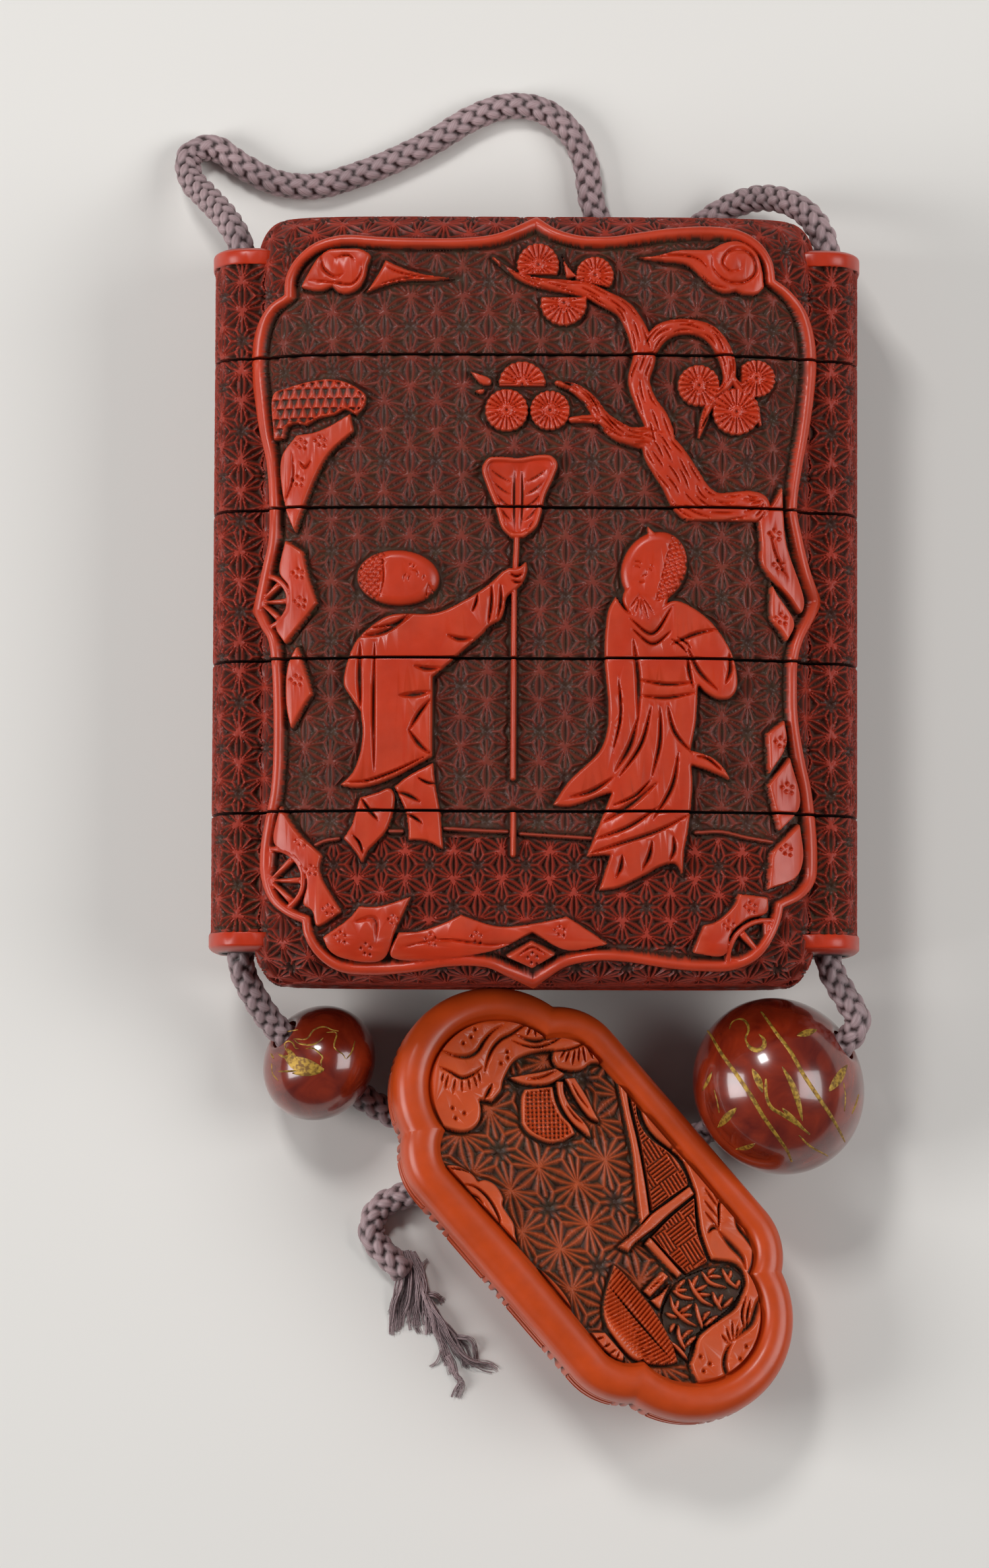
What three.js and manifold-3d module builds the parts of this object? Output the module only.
// A carved red lacquer inro: a lid and four cases stacked on one silk cord, lying face up with its two
// beads and its toggle (the netsuke). Millimetres, +Z up out of the carved face, +Y towards the lid.
import * as THREE from 'three'
import { mergeVertices } from 'three/addons/utils/BufferGeometryUtils.js'
import Module from 'manifold-3d'

const wasm = await Module()
wasm.setup()

// ---- driving dimensions ----
const halfHeight = 37.5 // lid top to base, halved
const halfWidth = 27.4 // body without its cord runners
const halfDepth = 12 // the carved front stands this far over the middle plane
const reliefHeight = 1 // figures and frame over their ground
const middle = halfDepth // height of the middle plane over the surface it lies on
const sectionPower = 4.5 // squareness of the body's section
const shoulder = 4.5 // length of the rounding towards each end
const shoulderDepthDrop = 0.45
const shoulderWidthDrop = 0.1
const jointHeights = [-21.1, -6.3, 8.4, 23.3] // where the cases meet
const gap = 0.3 // between two pieces that touch
const wall = 2.4
const floorThickness = 1.5
const riserHeight = 3
const riserThickness = 1

const runner = { x: 27.6, halfWidth: 4, halfDepth: 7, halfLength: 34.4, power: 2.8, bandLength: 1.9, bandProud: 1.05 }
const cordX = 28.8 // where the cord runs through the runners
const cordRadius = 1.25
const cordSteps = 62
const cordSides = 8
const tunnelRadius = cordRadius + 0.35
const boreRadius = 1.75

// ---- small helpers ----
const flat = (color, roughness) => new THREE.MeshStandardMaterial({ color, roughness, metalness: 0 })

function solid(geometry) {
  const bare = geometry.clone()
  bare.deleteAttribute('normal')
  bare.deleteAttribute('uv')
  const merged = mergeVertices(bare, 1e-4)
  return new wasm.Manifold(
    new wasm.Mesh({
      numProp: 3,
      vertProperties: new Float32Array(merged.attributes.position.array),
      triVerts: new Uint32Array(merged.index.array)
    })
  )
}

function mesh(name, body, material) {
  const made = body.getMesh()
  const geometry = new THREE.BufferGeometry()
  geometry.setAttribute('position', new THREE.BufferAttribute(new Float32Array(made.vertProperties), 3))
  geometry.setIndex(new THREE.BufferAttribute(new Uint32Array(made.triVerts), 1))
  geometry.computeVertexNormals()
  const piece = new THREE.Mesh(geometry, material)
  piece.name = name
  return piece
}

const joined = (parts) => parts.reduce((sum, part) => sum.add(part))

// A closed skin through rings of equal point counts, capped by a fan at each end.
function loft(rings) {
  const sides = rings[0].length
  const points = rings.flat()
  const faces = []
  for (let r = 0; r + 1 < rings.length; r++) {
    for (let i = 0; i < sides; i++) {
      const a = r * sides + i
      const b = r * sides + ((i + 1) % sides)
      faces.push(a, b, a + sides, b, b + sides, a + sides)
    }
  }
  const last = (rings.length - 1) * sides
  for (let i = 1; i + 1 < sides; i++) {
    faces.push(0, i + 1, i)
    faces.push(last, last + i, last + i + 1)
  }
  const corner = (i) => new THREE.Vector3(...points[i])
  let volume = 0
  for (let i = 0; i < faces.length; i += 3) {
    volume += corner(faces[i]).dot(corner(faces[i + 1]).cross(corner(faces[i + 2])))
  }
  const geometry = new THREE.BufferGeometry()
  geometry.setAttribute('position', new THREE.Float32BufferAttribute(points.flat(), 3))
  geometry.setIndex(volume < 0 ? faces.reverse() : faces)
  return solid(geometry)
}

// A rounded section across the case at height y, with a true flat facet at its front and back.
function section(y, { x = 0, width, front, back, power = sectionPower, sides = 20 }) {
  const level = Math.cos(Math.PI / sides) ** (2 / power)
  const bulge = (v) => Math.sign(v) * Math.abs(v) ** (2 / power)
  return Array.from({ length: sides }, (_, i) => {
    const turn = ((i + 0.5) / sides) * 2 * Math.PI
    const rise = bulge(Math.sin(turn)) / level
    return [x + width * bulge(Math.cos(turn)), y, middle + rise * (rise > 0 ? front : back)]
  })
}

// The body as a rounded block, fuller at the front by `proud` where the relief stands.
function bodyBlock(proud) {
  const rings = []
  for (const side of [-1, 1]) {
    for (const t of side < 0 ? [1, 0.82, 0.5, 0] : [0, 0.5, 0.82, 1]) {
      const fall = 1 - Math.sqrt(1 - t * t)
      const depth = 1 - shoulderDepthDrop * fall
      rings.push(
        section(side * (halfHeight - shoulder + shoulder * t), {
          width: halfWidth * (1 - shoulderWidthDrop * fall) + proud * 0.3,
          front: (halfDepth - reliefHeight) * depth + proud,
          back: halfDepth * depth
        })
      )
    }
  }
  return loft(rings)
}

// One cord runner down a side, with a raised band round each end.
function runnerBlock(side) {
  const { x, halfLength, bandLength, bandProud, power } = runner
  const ring = (y, scale) =>
    section(y, {
      x: side * x,
      width: runner.halfWidth * scale,
      front: runner.halfDepth * scale,
      back: runner.halfDepth * scale,
      power,
      sides: 12
    })
  const half = [
    [halfLength, 0.84],
    [halfLength - 0.6, bandProud],
    [halfLength - bandLength, bandProud],
    [halfLength - bandLength, 1]
  ]
  return loft([...half.map(([y, s]) => ring(-y, s)), ...half.reverse().map(([y, s]) => ring(y, s))])
}

// ---- outlines of the relief, seen from the front: [x, y] ----
function prism(points, low, high) {
  const shape = new THREE.Shape(points.map(([x, y]) => new THREE.Vector2(x, y)))
  const geometry = new THREE.ExtrudeGeometry(shape, { depth: high - low, bevelEnabled: false, steps: 1 })
  return solid(geometry.translate(0, 0, low))
}

// A band along a line of [x, y, width] points; a line with no third value takes the given width.
function band(line, width) {
  const left = []
  const right = []
  line.forEach(([x, y, own], i) => {
    const before = line[Math.max(i - 1, 0)]
    const after = line[Math.min(i + 1, line.length - 1)]
    const into = new THREE.Vector2(x - before[0], y - before[1]).normalize()
    const out = new THREE.Vector2(after[0] - x, after[1] - y).normalize()
    const along = into.clone().add(out).normalize()
    const mitre = Math.min(1 / Math.max(along.dot(i ? into : out), 0.5), 1.6)
    const reach = ((own ?? width) / 2) * mitre
    left.push([x - along.y * reach, y + along.x * reach])
    right.unshift([x + along.y * reach, y - along.x * reach])
  })
  return [...left, ...right]
}

function scalloped(x, y, radius, rays, keep = () => true) {
  const points = []
  for (let i = 0; i < 2 * rays; i++) {
    const turn = (i * Math.PI) / rays
    const r = radius * (i % 2 ? 0.93 : 1)
    const point = [x + r * Math.cos(turn), y + r * Math.sin(turn)]
    if (keep(...point)) points.push(point)
  }
  return points
}

// A long cut, wide in the middle and pointed at both ends, bent sideways by `bow`.
function lens([x0, y0], [x1, y1], width, bow = 0) {
  const length = Math.hypot(x1 - x0, y1 - y0)
  const [dx, dy] = [(x1 - x0) / length, (y1 - y0) / length]
  const at = (along, aside) => [x0 + dx * along * length - dy * aside, y0 + dy * along * length + dx * aside]
  return [at(0, 0), at(0.35, bow - width / 2), at(0.7, bow - width / 2), at(1, 0), at(0.65, bow + width / 2),
    at(0.3, bow + width / 2)]
}

const frameLeft = [[-0.1, 36], [-2, 35.1], [-4.5, 34.4], [-11, 34], [-19, 34.3], [-21.5, 33.6], [-23.1, 32.2],
  [-23.9, 29], [-25.4, 27.9], [-26.4, 26], [-26.8, 22.5], [-26, 16], [-25.2, 11], [-25.2, 5], [-25.6, 3],
  [-26.6, -1.3], [-25.2, -4.2], [-24.7, -10], [-24.8, -19], [-25.6, -25], [-25.4, -28.5], [-23.6, -31],
  [-21.9, -31.6], [-21.6, -33.2], [-20.4, -34.8], [-18, -35.8], [-12, -35.8], [-6, -35.2], [-2.5, -35.9], [-0.1, -36.6]]
const frameRight = [[-0.1, 36], [1.5, 35], [4, 34.3], [10, 34.6], [17, 35.2], [20, 34.7], [22.1, 33], [22.6, 30.6],
  [24.6, 29], [25.9, 26.5], [26.3, 23.5], [25.6, 16], [24.7, 10.5], [24.8, 7], [25.8, 2.5], [26.8, -0.3],
  [25.4, -3.6], [24.6, -8], [24.9, -14], [26.1, -21], [26.4, -25], [26, -28], [23.4, -30], [23, -32],
  [21.4, -34.5], [19, -35.5], [13, -35.4], [6, -34.9], [2, -35.7], [-0.1, -36.6]]
const frameWidth = 0.95

const clouds = [
  [[-22.9, 29.7], [-22, 31.6], [-20.9, 33], [-18.5, 33.5], [-16.4, 33.3], [-16.1, 32.6], [-16.7, 31.5],
    [-16.6, 30.4], [-17.4, 29.3], [-18.6, 29], [-19.8, 29.7], [-21.2, 29.3]],
  [[-15.9, 30.3], [-14.6, 32.5], [-12, 31.4], [-7.6, 30.7], [-13.5, 30.2], [-16.7, 29.1]],
  [[9.4, 32.8], [13.5, 33.5], [15.3, 33.6], [16.6, 33.1], [17.6, 34], [19.5, 34.2], [21, 33.2], [21.8, 31.8],
    [22, 30], [21.3, 29.3], [20, 29.2], [19.2, 29.5], [18.2, 29.2], [16.6, 30.1], [14.5, 31.9], [10.8, 32.5]]
]
const trunk = [
  [[21.8, 9.2, 1.2], [20.6, 8.4, 3.6], [17.2, 8.1, 3.8], [15.2, 9.1, 4.2], [13.9, 11.2, 4], [12.3, 13.6, 3.8],
    [11.2, 15, 2.6], [9, 15.3, 2], [7.6, 16, 1.9], [6.3, 17.2, 1.5], [5.2, 18.7, 1.4], [3.8, 19.9, 1.1], [2, 20.5, 0.6]],
  [[12.4, 14.6, 2.6], [11.6, 16.8, 2.6], [10.5, 18.8, 2.2], [9.9, 20.8, 2.2], [10.4, 23, 2.3], [10, 24.8, 2.2],
    [9.3, 26.4, 2], [8.4, 27.7, 1.8], [6.6, 28.7, 1.7], [4.6, 29.6, 1.6], [0, 30.3, 1.1], [-2, 31, 0.7], [-4.3, 32.7, 0.3]],
  [[10.7, 23.4, 1.6], [11.9, 25.3, 1.9], [13.6, 26, 1.7], [15.2, 26, 1.6], [16.8, 25.4, 1.7], [18, 23.9, 1.7],
    [18.6, 22, 1.5], [18.4, 20.4, 1.1], [17, 18.9, 0.9], [16.2, 17, 0.8], [15.7, 15.2, 0.3]],
  [[18.7, 21.2, 1], [20.1, 19.6, 0.8], [21.2, 18.2, 0.7], [21.6, 16.6, 0.4]],
  [[6.6, 16.7, 1], [5.2, 17, 0.9], [3.4, 16.9, 0.7]]
]
const brokenTwigs = [
  [[2.3, 33.4], [3, 31.9], [4.2, 30.6], [2.8, 30.4]],
  [[-6.6, 21.7], [-4.4, 20.8], [-4.5, 20.2], [-5.4, 20.3]],
  [[-6.2, 19.7], [-5, 19.9], [-5.3, 19.3]]
]
const pineTufts = [
  [0.1, 32, 2.1, (x, y) => y > 30.9], [5.6, 31, 1.9, (x, y) => y > 30 + (5.6 - x) * 0.25],
  [2.6, 28.3, 2.3, (x, y) => y < 28.9], [-1.4, 20.3, 2.35, (x, y) => y > 20.15], [-2.9, 17.8, 2.15], [1.3, 17.8, 2],
  [15.7, 20.3, 2.1, (x) => x < 17.6], [21.2, 21.1, 1.9, (x) => x > 19.8], [19.3, 17.8, 2.3]
]
const fan = [[-5.3, 12.2], [-4.6, 13.1], [-1.7, 13.2], [0.2, 13.5], [1.5, 13.4], [2.1, 12.6], [0.9, 9.4], [0.5, 7.6],
  [0, 6.3], [-1.2, 5.3], [-2.4, 5.3], [-3.3, 6.2], [-4, 8.3]]
const staff = [[[-1.85, 5.6], [-2, 2.2]], [[-2.1, 0.2], [-2.15, -17.9]], [[-2.1, -21.3], [-2.1, -25.3]]]
const staffWidth = 0.65
const tuftRays = 9
const attendant = [
  [[-17.4, 1.5], [-16.8, 0.1], [-15.2, -0.5], [-13.8, -1.2], [-11, -1.5], [-9.7, -0.8], [-9.3, 0.9], [-9.9, 2.6],
    [-11.1, 3.8], [-13.6, 4.2], [-15.6, 3.8], [-16.9, 2.8]],
  [[-12, -1.9], [-9, -1.7], [-5.5, 0.2], [-4.2, 1.2], [-2.6, 2.5], [-1.6, 2.3], [-0.9, 3.2], [-0.8, 2.2],
    [-2, 0.2], [-2.8, -0.5], [-3.4, -2.6], [-5.2, -4.1], [-9.8, -8.2], [-9.9, -15.9], [-13.5, -17.9],
    [-17.2, -19], [-18.9, -18.7], [-17.3, -16.8], [-16.7, -13.5], [-17, -11], [-18.5, -9], [-18.1, -6.4],
    [-17.4, -4.7], [-16, -3.3], [-14, -2.1]],
  [[-9.8, -16.4], [-9.6, -18.5], [-9.1, -21.3], [-8.8, -24.9], [-10.5, -24.1], [-12.2, -24], [-12.4, -21.6],
    [-13.6, -18.8], [-12.4, -17.8]],
  [[-16.9, -19.8], [-15.2, -19.3], [-14, -18.9], [-13.5, -19.6], [-14.2, -22.9], [-16, -25], [-16.6, -26.3],
    [-17.4, -25], [-18.5, -23.8], [-17.7, -22.5], [-17.2, -20.8]]
]
const attendantCuts = [lens([-15.5, -4.6], [-15.7, -17.4], 0.45), lens([-16.9, -4.8], [-16.8, -11.8], 0.7),
  lens([-17.3, -4.3], [-11.8, -2.1], 0.7, -0.5), lens([-8.6, -4.1], [-6, -4.5], 0.7, -0.2),
  lens([-11.8, -7.1], [-9, -7.3], 0.7, -0.2), lens([-13.2, -10], [-10, -9.6], 0.8, -0.15),
  lens([-10.1, -10.3], [-12.2, -13.4], 0.7), lens([-12.3, -13.2], [-9.9, -15.8], 0.7),
  lens([-4.3, 1], [-4.5, -3.2], 0.6), lens([-3.4, 0.9], [-3.7, -2.6], 0.6), lens([-5.6, 0], [-6.2, -2], 0.5),
  lens([-16.8, -19.8], [-15, -22.2], 0.6), lens([-13.4, -19.3], [-11, -20.3], 0.6, -0.3)]
const sage = [
  [[8, 3.2], [9.4, 4.6], [10.9, 5.3], [10.7, 6.7], [11.7, 5.5], [13, 5.7], [14.5, 5.2], [15.4, 3.6], [15.4, 2.2],
    [14.6, 1.1], [13.5, 0.4], [12.8, -1], [12, -2.4], [10.6, -2.9], [9.4, -2.2], [8.3, -0.9], [7.7, 0.6]],
  [[7.7, -0.2], [7, -1.5], [6.7, -3.5], [6.6, -6], [7, -11], [6.9, -13.2], [6.2, -15.2], [3.2, -18.2], [1.6, -20.6],
    [3.4, -20.7], [6.5, -19.6], [7.3, -19.4], [6.3, -22], [4.9, -25.5], [7.2, -25.4], [6.1, -28.8], [7.8, -28.6],
    [10.8, -27.2], [12, -26.5], [13.5, -26.2], [14.3, -27.6], [14.4, -25], [14.8, -22.8], [15.2, -18.5],
    [15.1, -16.7], [16.5, -17.1], [18.9, -18.1], [18.2, -16.8], [16.9, -15.7], [15, -15.1], [15.5, -12.5],
    [15.7, -9], [16.4, -9.6], [17.5, -10.2], [18.6, -10.2], [19.4, -9.2], [19.2, -6.5], [18, -4], [16.2, -2],
    [13.4, -0.6], [11.5, -1.6], [9, -1.8]]
]
const sageCuts = [lens([9.4, -4.4], [9.9, -12.5], 0.8), lens([9.9, -12], [7.6, -17.4], 0.8, 0.5),
  lens([9.9, -8.4], [15.4, -8.6], 0.6), lens([9.9, -10], [15.5, -9.6], 0.55), lens([11.2, -10.8], [8, -17.9], 0.6, 0.5),
  lens([12, -10.8], [11.2, -17.9], 0.6), lens([12.7, -10.8], [15.2, -15.6], 0.6, -0.6),
  lens([13.8, -15.3], [11.3, -22], 0.7), lens([3.3, -19.8], [7.6, -17.8], 0.8), lens([6.4, -22.3], [11.8, -18.3], 0.8),
  lens([5, -25.3], [15, -21.3], 0.6, -0.4), lens([8.4, -25.3], [7.8, -27.6], 0.7), lens([11.3, -23.9], [10.3, -26.8], 0.7),
  lens([9, -2.4], [13.2, -1.2], 0.6, -1.5), lens([14.6, -5.2], [17.6, -9.4], 0.7), lens([18.6, -5.6], [18.2, -8.8], 0.6),
  lens([13, -5], [17.6, -3.4], 0.6, 0.5), lens([14.6, -6], [15.2, -9.2], 0.6)]
const rocks = [
  [[-25.3, 15], [-25.3, 19.6], [-24, 20.2], [-20, 20.8], [-17.2, 19.9], [-16.5, 19], [-17.4, 17.2], [-18.5, 17.8],
    [-21, 17], [-22.2, 16.3], [-24, 16.3], [-24.3, 15.1]],
  [[-23.1, 15.5], [-21.5, 15.7], [-20, 16.3], [-18, 17.5], [-17.6, 15.7], [-20.2, 13.2], [-22.4, 8.2], [-23.2, 5.8],
    [-24.1, 8.3], [-24.5, 13.3]],
  [[-24.1, 5.3], [-22.4, 4.1], [-22, 2.2], [-21, -1], [-24, -5], [-24.9, -3.2], [-23.8, -1.6], [-23.8, 0.7], [-24.6, 2]],
  [[-22.9, -4.9], [-22.1, -7.4], [-21.4, -9.8], [-22.3, -11.2], [-23.4, -13.4], [-23.9, -11], [-23.8, -7]],
  [[-24.4, -20.4], [-22.8, -23], [-20.4, -25.4], [-20.6, -27], [-18.5, -30.9], [-20.9, -32.3], [-21.4, -30.8],
    [-22.2, -30.2], [-21.9, -28], [-22.8, -25.8], [-24.9, -24.3]],
  [[-20.4, -33.3], [-17.8, -31.4], [-16.9, -30.3], [-15, -30.3], [-11.8, -29.3], [-13.3, -32.6], [-14.5, -35.2],
    [-18.5, -35.1], [-19.8, -34.4]],
  [[-13.1, -32.8], [-11.2, -32.7], [-9, -32], [-7.1, -31.1], [-3.4, -32.2], [0.5, -31.8], [3.1, -31.2], [7.3, -33.9],
    [3, -34.4], [-0.2, -32.9], [-4, -34.5], [-13.9, -34.9]],
  [[-0.3, -33.5], [2.2, -34.7], [-0.2, -35.9], [-2.9, -34.9]],
  [[16.2, -32], [17.5, -31.6], [19.2, -29.9], [19.5, -28.9], [22.4, -29.2], [22.3, -30.8], [20.4, -31.5],
    [18.9, -32.9], [18.3, -34.7], [15.1, -34.6]],
  [[23.7, 10.8], [22.2, 8.2], [21.4, 7.1], [21.6, 5], [21.7, 2.9], [24.2, -0.2], [25.3, -1.7], [25.7, -0.6],
    [24.1, 5], [23.8, 8]],
  [[22.6, 1.4], [23.2, 0.2], [24.8, -2.6], [24.1, -4.6], [23.5, -3.6], [22.6, -2.3]],
  [[22.2, -13.4], [23.9, -12], [24.1, -14.5], [22.4, -17.6]],
  [[22.3, -18.4], [24.4, -15.5], [25.3, -20.4], [23.4, -23]],
  [[22.6, -24.9], [25.3, -21.9], [25.6, -25.6], [24.9, -27.4], [22.3, -28.6]]
]
const groundLines = [[[-21.1, -24.4], [-18.7, -23.7]], [[-14, -23.1], [-12.6, -23.1]], [[-8.7, -22.8], [-2.8, -23.1]],
  [[-1.4, -23.3], [5.6, -23.7]], [[15.4, -23.1], [18, -23], [22.9, -23.9]]]
const reliefBottom = 14
const reliefTop = 27

function relief() {
  const raised = [
    band(frameLeft, frameWidth), band(frameRight, frameWidth), ...clouds, ...trunk.map((line) => band(line)),
    ...brokenTwigs, ...pineTufts.map(([x, y, r, keep]) => scalloped(x, y, r, tuftRays, keep)), fan,
    ...staff.map((line) => band(line, staffWidth)), ...attendant, ...sage, ...rocks,
    ...groundLines.map((line) => band(line, 0.5))
  ]
  const cuts = [...attendantCuts, ...sageCuts, lens([-20.9, 33.3], [-18.9, 31], 0.7, -0.8),
    lens([17.2, 33.2], [21.2, 30.6], 0.6, -1.3), lens([-17.4, -31.9], [-15.2, -33.8], 0.9, 0.6)]
  const standing = joined(raised.map((points) => prism(points, reliefBottom, reliefTop)))
  const folds = joined(cuts.map((points) => prism(points, reliefBottom, reliefTop)))
  return standing.subtract(folds).intersect(bodyBlock(reliefHeight))
}

// ---- the stack: a lid over four cases ----
const inner = {
  width: halfWidth - wall - 0.4,
  front: halfDepth - reliefHeight - wall,
  back: halfDepth - wall
}

function hollow(low, high, inset) {
  const size = { width: inner.width - inset, front: inner.front - inset, back: inner.back - inset, sides: 12 }
  return loft([section(low, size), section(high, size)])
}

function slab(low, high) {
  const box = new THREE.BoxGeometry(3 * halfWidth, high - low, 4 * halfDepth)
  return solid(box.translate(0, (low + high) / 2, middle))
}

function boreAlongY(x) {
  const bore = new THREE.CylinderGeometry(boreRadius, boreRadius, 3 * halfHeight, 12)
  return solid(bore.translate(x, 0, middle))
}

const lacquer = flat(0xb4300f, 0.32)
const orangeLacquer = flat(0xc2501f, 0.35)
const beadLacquer = flat(0x7a1e0c, 0.15)
const silk = flat(0x8f7474, 0.85)

const whole = joined([bodyBlock(0), relief(), runnerBlock(-1), runnerBlock(1)])
  .subtract(boreAlongY(-cordX))
  .subtract(boreAlongY(cordX))

function stackPiece(name, low, high, { isLid = false, isBase = false } = {}) {
  const bottom = isBase ? low - 1 : low + gap / 2
  const top = isLid ? high + 1 : high - gap / 2
  let piece = whole.intersect(slab(bottom, top))
  const roof = isLid ? halfHeight - wall : low + riserHeight + 2 * gap
  if (!isBase) piece = piece.subtract(hollow(bottom - 1, roof, 0))
  if (isLid) return mesh(name, piece, lacquer.clone())
  const floor = isBase ? -halfHeight + wall : roof + floorThickness
  const riser = hollow(top - 0.5, top + riserHeight, gap)
  const room = hollow(floor, top + riserHeight + 1, gap + riserThickness)
  return mesh(name, piece.add(riser).subtract(room), lacquer.clone())
}

// ---- cord, beads and toggle ----
// The cord's centreline: from inside the toggle, through the small bead, up the left runner, round behind the
// lid, down the right runner, through the large bead and the toggle's tunnel to its loose end.
const cordRoute = [
  [-3.6, -54.6, 4.4], [-6.8, -53.3, 3.3], [-10.2, -51.6, 2], [-13.4, -50, 1.9], [-16.6, -48.2, 3.4],
  [-21.1, -44.8, 5.8], [-25.3, -41.4, 8.2], [-27.3, -38.6, 10.3], [-28.5, -36, 11.7], [-28.8, -33, 12],
  [-28.8, -26, 12], [-28.8, 0, 12], [-28.8, 26, 12], [-28.8, 33, 12], [-29.3, 35.9, 11.5], [-30.8, 38.8, 9],
  [-32.8, 41.4, 5.7], [-34.6, 43.8, 3], [-34.8, 46.2, 1.7], [-32.6, 47.2, 1.35], [-29.6, 45.4, 1.3],
  [-26.2, 43.7, 1.3], [-22.2, 43.3, 1.3], [-18.2, 44.4, 1.3], [-14.2, 46, 1.3], [-10.2, 48, 1.3],
  [-6.6, 50.2, 1.3], [-3, 51.5, 1.3], [0.6, 51.1, 1.3], [3.5, 48.8, 1.3], [5, 45.6, 1.3], [5.5, 42.2, 1.3],
  [6.7, 39.4, 1.3], [9.2, 38, 1.3], [12.6, 37.9, 1.3], [15.9, 39.1, 1.4], [18.8, 40.9, 2.2], [21.6, 41.7, 4.2],
  [24.5, 41.1, 7.2], [27, 39.1, 10], [28.4, 36.4, 11.6], [28.8, 33, 12], [28.8, 26, 12], [28.8, 0, 12],
  [28.8, -26, 12], [28.8, -34.4, 12], [29.4, -36.4, 12], [30.7, -38.6, 12], [31.7, -40.6, 12], [30.9, -42.4, 11.5],
  [28, -44.5, 10.4], [24.1, -47, 8.9], [20, -49.6, 7.3], [16, -52, 5.7], [11, -54.2, 4.6], [4.5, -56.2, 4.4],
  [-2.5, -57.2, 4.2], [-8.4, -57.3, 3.1], [-12.6, -57.7, 1.8], [-15.3, -59.2, 1.3], [-15.9, -61.6, 1.3],
  [-14.2, -63.8, 1.3], [-12.4, -65.6, 1.3]
]
const cordLine = new THREE.CatmullRomCurve3(cordRoute.map((p) => new THREE.Vector3(...p)), false, 'centripetal')

function tube(radius) {
  const ring = Array.from({ length: cordSides }, (_, i) => {
    const turn = ((i + 0.5) / cordSides) * 2 * Math.PI
    return new THREE.Vector2(radius * Math.cos(turn), radius * Math.sin(turn))
  })
  const geometry = new THREE.ExtrudeGeometry(new THREE.Shape(ring), { steps: cordSteps, extrudePath: cordLine })
  return solid(geometry)
}

const cord = tube(cordRadius)
const tunnel = tube(tunnelRadius)

function bead(name, [x, y, z], bore, radius, halfLength) {
  const profile = Array.from({ length: 9 }, (_, i) => {
    const turn = (i / 8 - 0.5) * Math.PI
    return new THREE.Vector2(i % 8 ? radius * Math.cos(turn) : 0, halfLength * Math.sin(turn))
  })
  const turned = new THREE.LatheGeometry(profile, 16)
  const along = new THREE.Vector3(...bore).normalize()
  turned.applyQuaternion(new THREE.Quaternion().setFromUnitVectors(new THREE.Vector3(0, 1, 0), along))
  return mesh(name, solid(turned.translate(x, y, z)).subtract(tunnel), beadLacquer.clone())
}

const toggle = {
  centre: [5.3, -59.1],
  axisTurn: -49, // degrees of its long axis from +X
  lean: 11, // degrees, its lower left side lifted
  halfLength: 18.6,
  halfWidth: 12.6,
  cornerRadius: 7,
  endRadius: 10.1,
  endOffset: 14.7,
  rimWidth: 3.4,
  // height over the underside of the wall, and how far the outline draws in there
  profile: [[-4.8, 8.5], [-4, 5], [-2.2, 1.8], [-0.6, 0.25], [0.2, 0], [4.4, 0], [5.4, 0.35], [6, 1.3]],
  panel: 4.7,
  motifTop: 5.75
}

// Motifs of the toggle's panel, as offsets from its centre before it is turned on its long axis.
const toggleMotifs = [
  [[-14.9, 14.2], [-13.8, 16.1], [-11.5, 18.1], [-8.3, 18.9], [-5.5, 18.6], [0, 16.8], [-1.9, 15.6], [-5.1, 15.6],
    [-8.1, 13.5], [-9.6, 10.4], [-11, 9.6], [-10.7, 8.5], [-11.5, 7.6], [-13.5, 7.9], [-14.7, 11.3]],
  [[0.9, 17.2], [3.7, 14], [5, 12], [4.8, 9.6], [6.5, 7.1], [8.7, 5.3], [9.9, 3.2], [10.8, 0], [11.9, -3.2],
    [13.1, -5.1], [15, -5.5], [14.7, -9.9], [12.2, -11], [10.1, -15.6], [10.8, -17.3], [15.8, -18], [20, -12],
    [18.5, -3], [13.6, 4.5], [5.1, 15]],
  [[-6.2, 11.7], [-3.2, 12], [-1.2, 7.1], [-3.4, 6.4], [-5.5, 6.9], [-6.6, 9]],
  [[-3, 12.8], [-0.7, 10.6], [0, 6.9], [-1.4, 9.2]],
  [[2.7, 13.4], [4.2, 12.9], [5.9, -0.5], [4.6, -1.1]],
  [[10.3, 2.3], [10.8, 1.8], [3.7, -4.2], [3, -3.5]],
  [[5.1, 9.2], [6.8, 6.7], [9.9, 3.2], [6.4, 0.2]],
  [[10.4, 1], [11.5, -4.4], [9.4, -6.2], [6.2, -2.5]],
  [[2.7, -5.3], [5.1, -7.4], [7.6, -10.6], [9.4, -14.5], [6.2, -15], [3.4, -13.1], [1.8, -10.3], [1.8, -7.4]],
  [[-13.6, 4.1], [-9.4, 2.1], [-7.3, -1.4], [-6.5, -3.9], [-2.7, -8.1], [-1.3, -11.5], [-3.4, -9.9], [-13.1, 1.8]]
]

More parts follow.
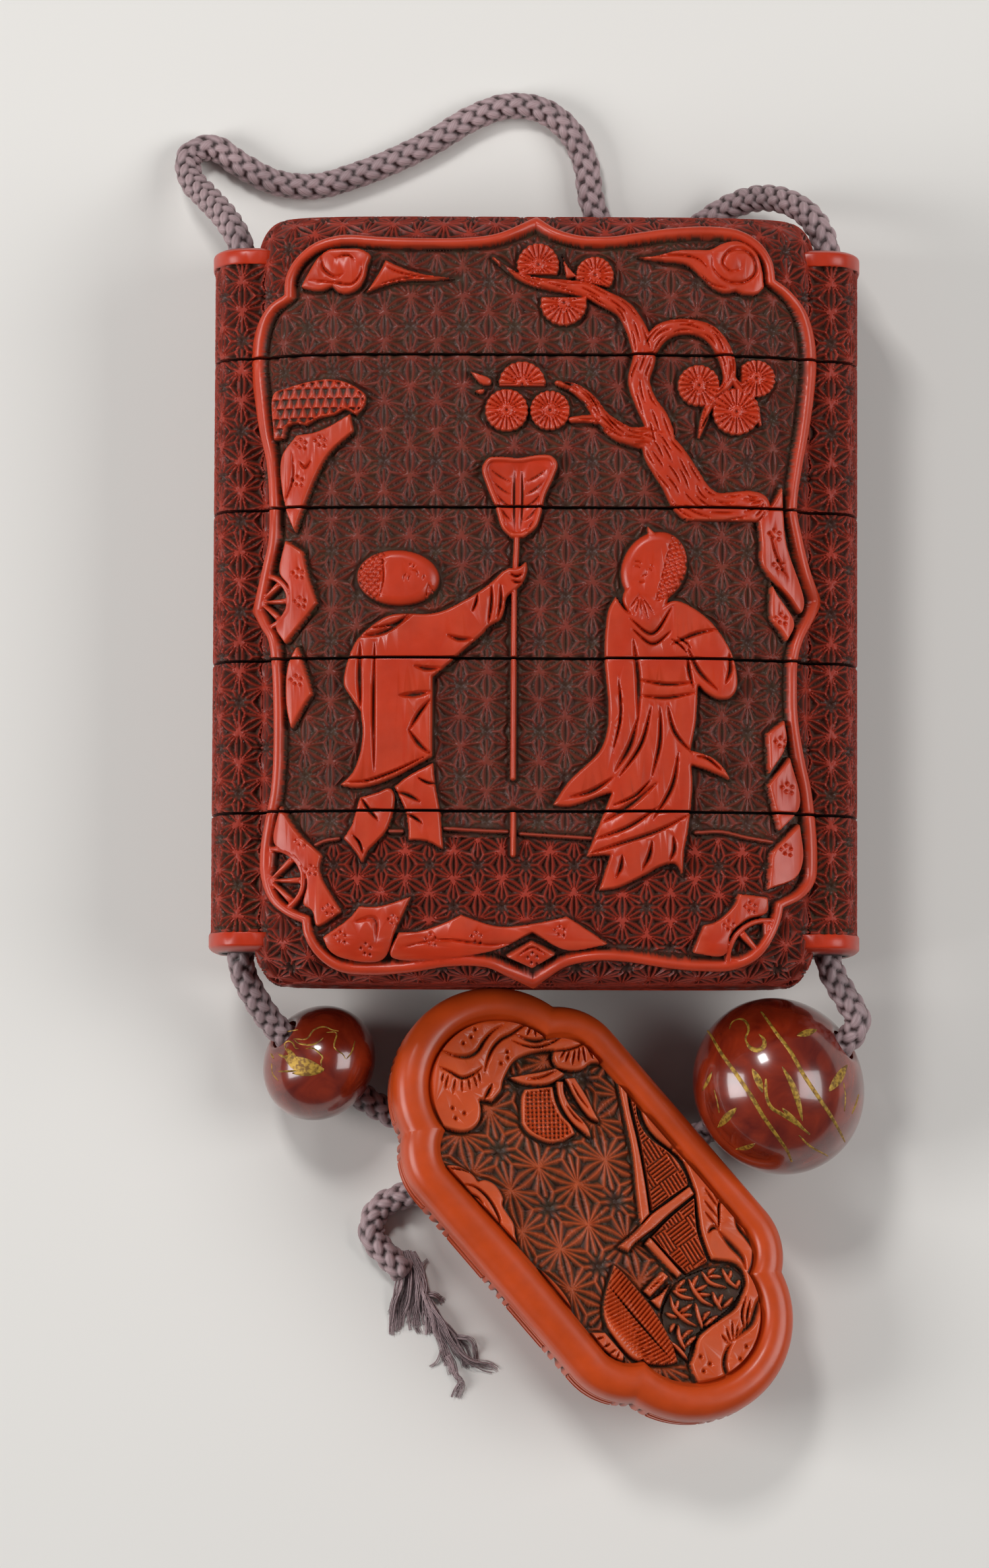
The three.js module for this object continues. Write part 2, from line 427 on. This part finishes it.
function toggleRing(height, inset, end) {
  const points = []
  const { halfLength, cornerRadius, endRadius, endOffset } = toggle
  const around = end ? 14 : 16
  for (let i = 0; i < around; i++) {
    const turn = ((i + 0.5) / around) * 2 * Math.PI
    const [c, s] = [Math.cos(turn), Math.sin(turn)]
    if (end) {
      points.push([end * endOffset + (endRadius - inset) * c, (endRadius - inset) * s, height])
      continue
    }
    const r = Math.max(cornerRadius - inset, 0.5)
    const x = halfLength - inset - r
    const y = toggle.halfWidth - inset - r
    points.push([Math.sign(c) * x + r * c, Math.sign(s) * y + r * s, height])
  }
  return points
}

const toggleBlock = (profile) =>
  joined([0, -1, 1].map((end) => loft(profile.map(([height, inset]) => toggleRing(height, inset, end)))))

function netsuke() {
  const panelInset = toggle.rimWidth
  const well = toggleBlock([[toggle.panel, panelInset], [toggle.motifTop + 3, panelInset - 0.4]])
  const back = (toggle.axisTurn * Math.PI) / 180
  const turned = toggleMotifs.map((points) =>
    points.map(([x, y]) => [x * Math.cos(back) + y * Math.sin(back), y * Math.cos(back) - x * Math.sin(back)])
  )
  const motifs = joined(turned.map((points) => prism(points, toggle.panel - 1, toggle.motifTop)))
  const block = toggleBlock(toggle.profile).subtract(well).add(motifs.intersect(well.translate([0, 0, -0.5])))
  const leaned = block.rotate([-toggle.lean, 0, 0]).rotate([0, 0, toggle.axisTurn])
  const rise = -leaned.boundingBox().min[2]
  return mesh('netsuke', leaned.translate([...toggle.centre, rise]).subtract(tunnel), orangeLacquer)
}

const frayOutline = [[-12.9, -66.6], [-11.4, -65.6], [-9.6, -65.8], [-8, -68.1], [-6.1, -71.3], [-5, -73.4], [-3, -74.8],
  [-6.1, -75], [-6.8, -76.6], [-7.7, -78], [-8.4, -74.8], [-10.1, -72], [-13.7, -71.6], [-14.2, -69.5]]
const frayHeight = 1.8

const part = new THREE.Group()
const [first, second, third, fourth] = jointHeights
part.add(stackPiece('lid', fourth, halfHeight, { isLid: true }))
part.add(stackPiece('case_1', third, fourth))
part.add(stackPiece('case_2', second, third))
part.add(stackPiece('case_3', first, second))
part.add(stackPiece('case_4', -halfHeight, first, { isBase: true }))
part.add(mesh('cord', cord, silk))
part.add(bead('small_bead', [-21.1, -44.8, 5.8], [4.2, -3.4, -2.4], 5.9, 5.2))
part.add(bead('large_bead', [24.1, -47, 8.9], [8, 5.1, 3.1], 8.85, 8.2))
part.add(netsuke())
part.add(mesh('frayed_end', prism(frayOutline, 0.1, frayHeight), silk.clone()))

export default part
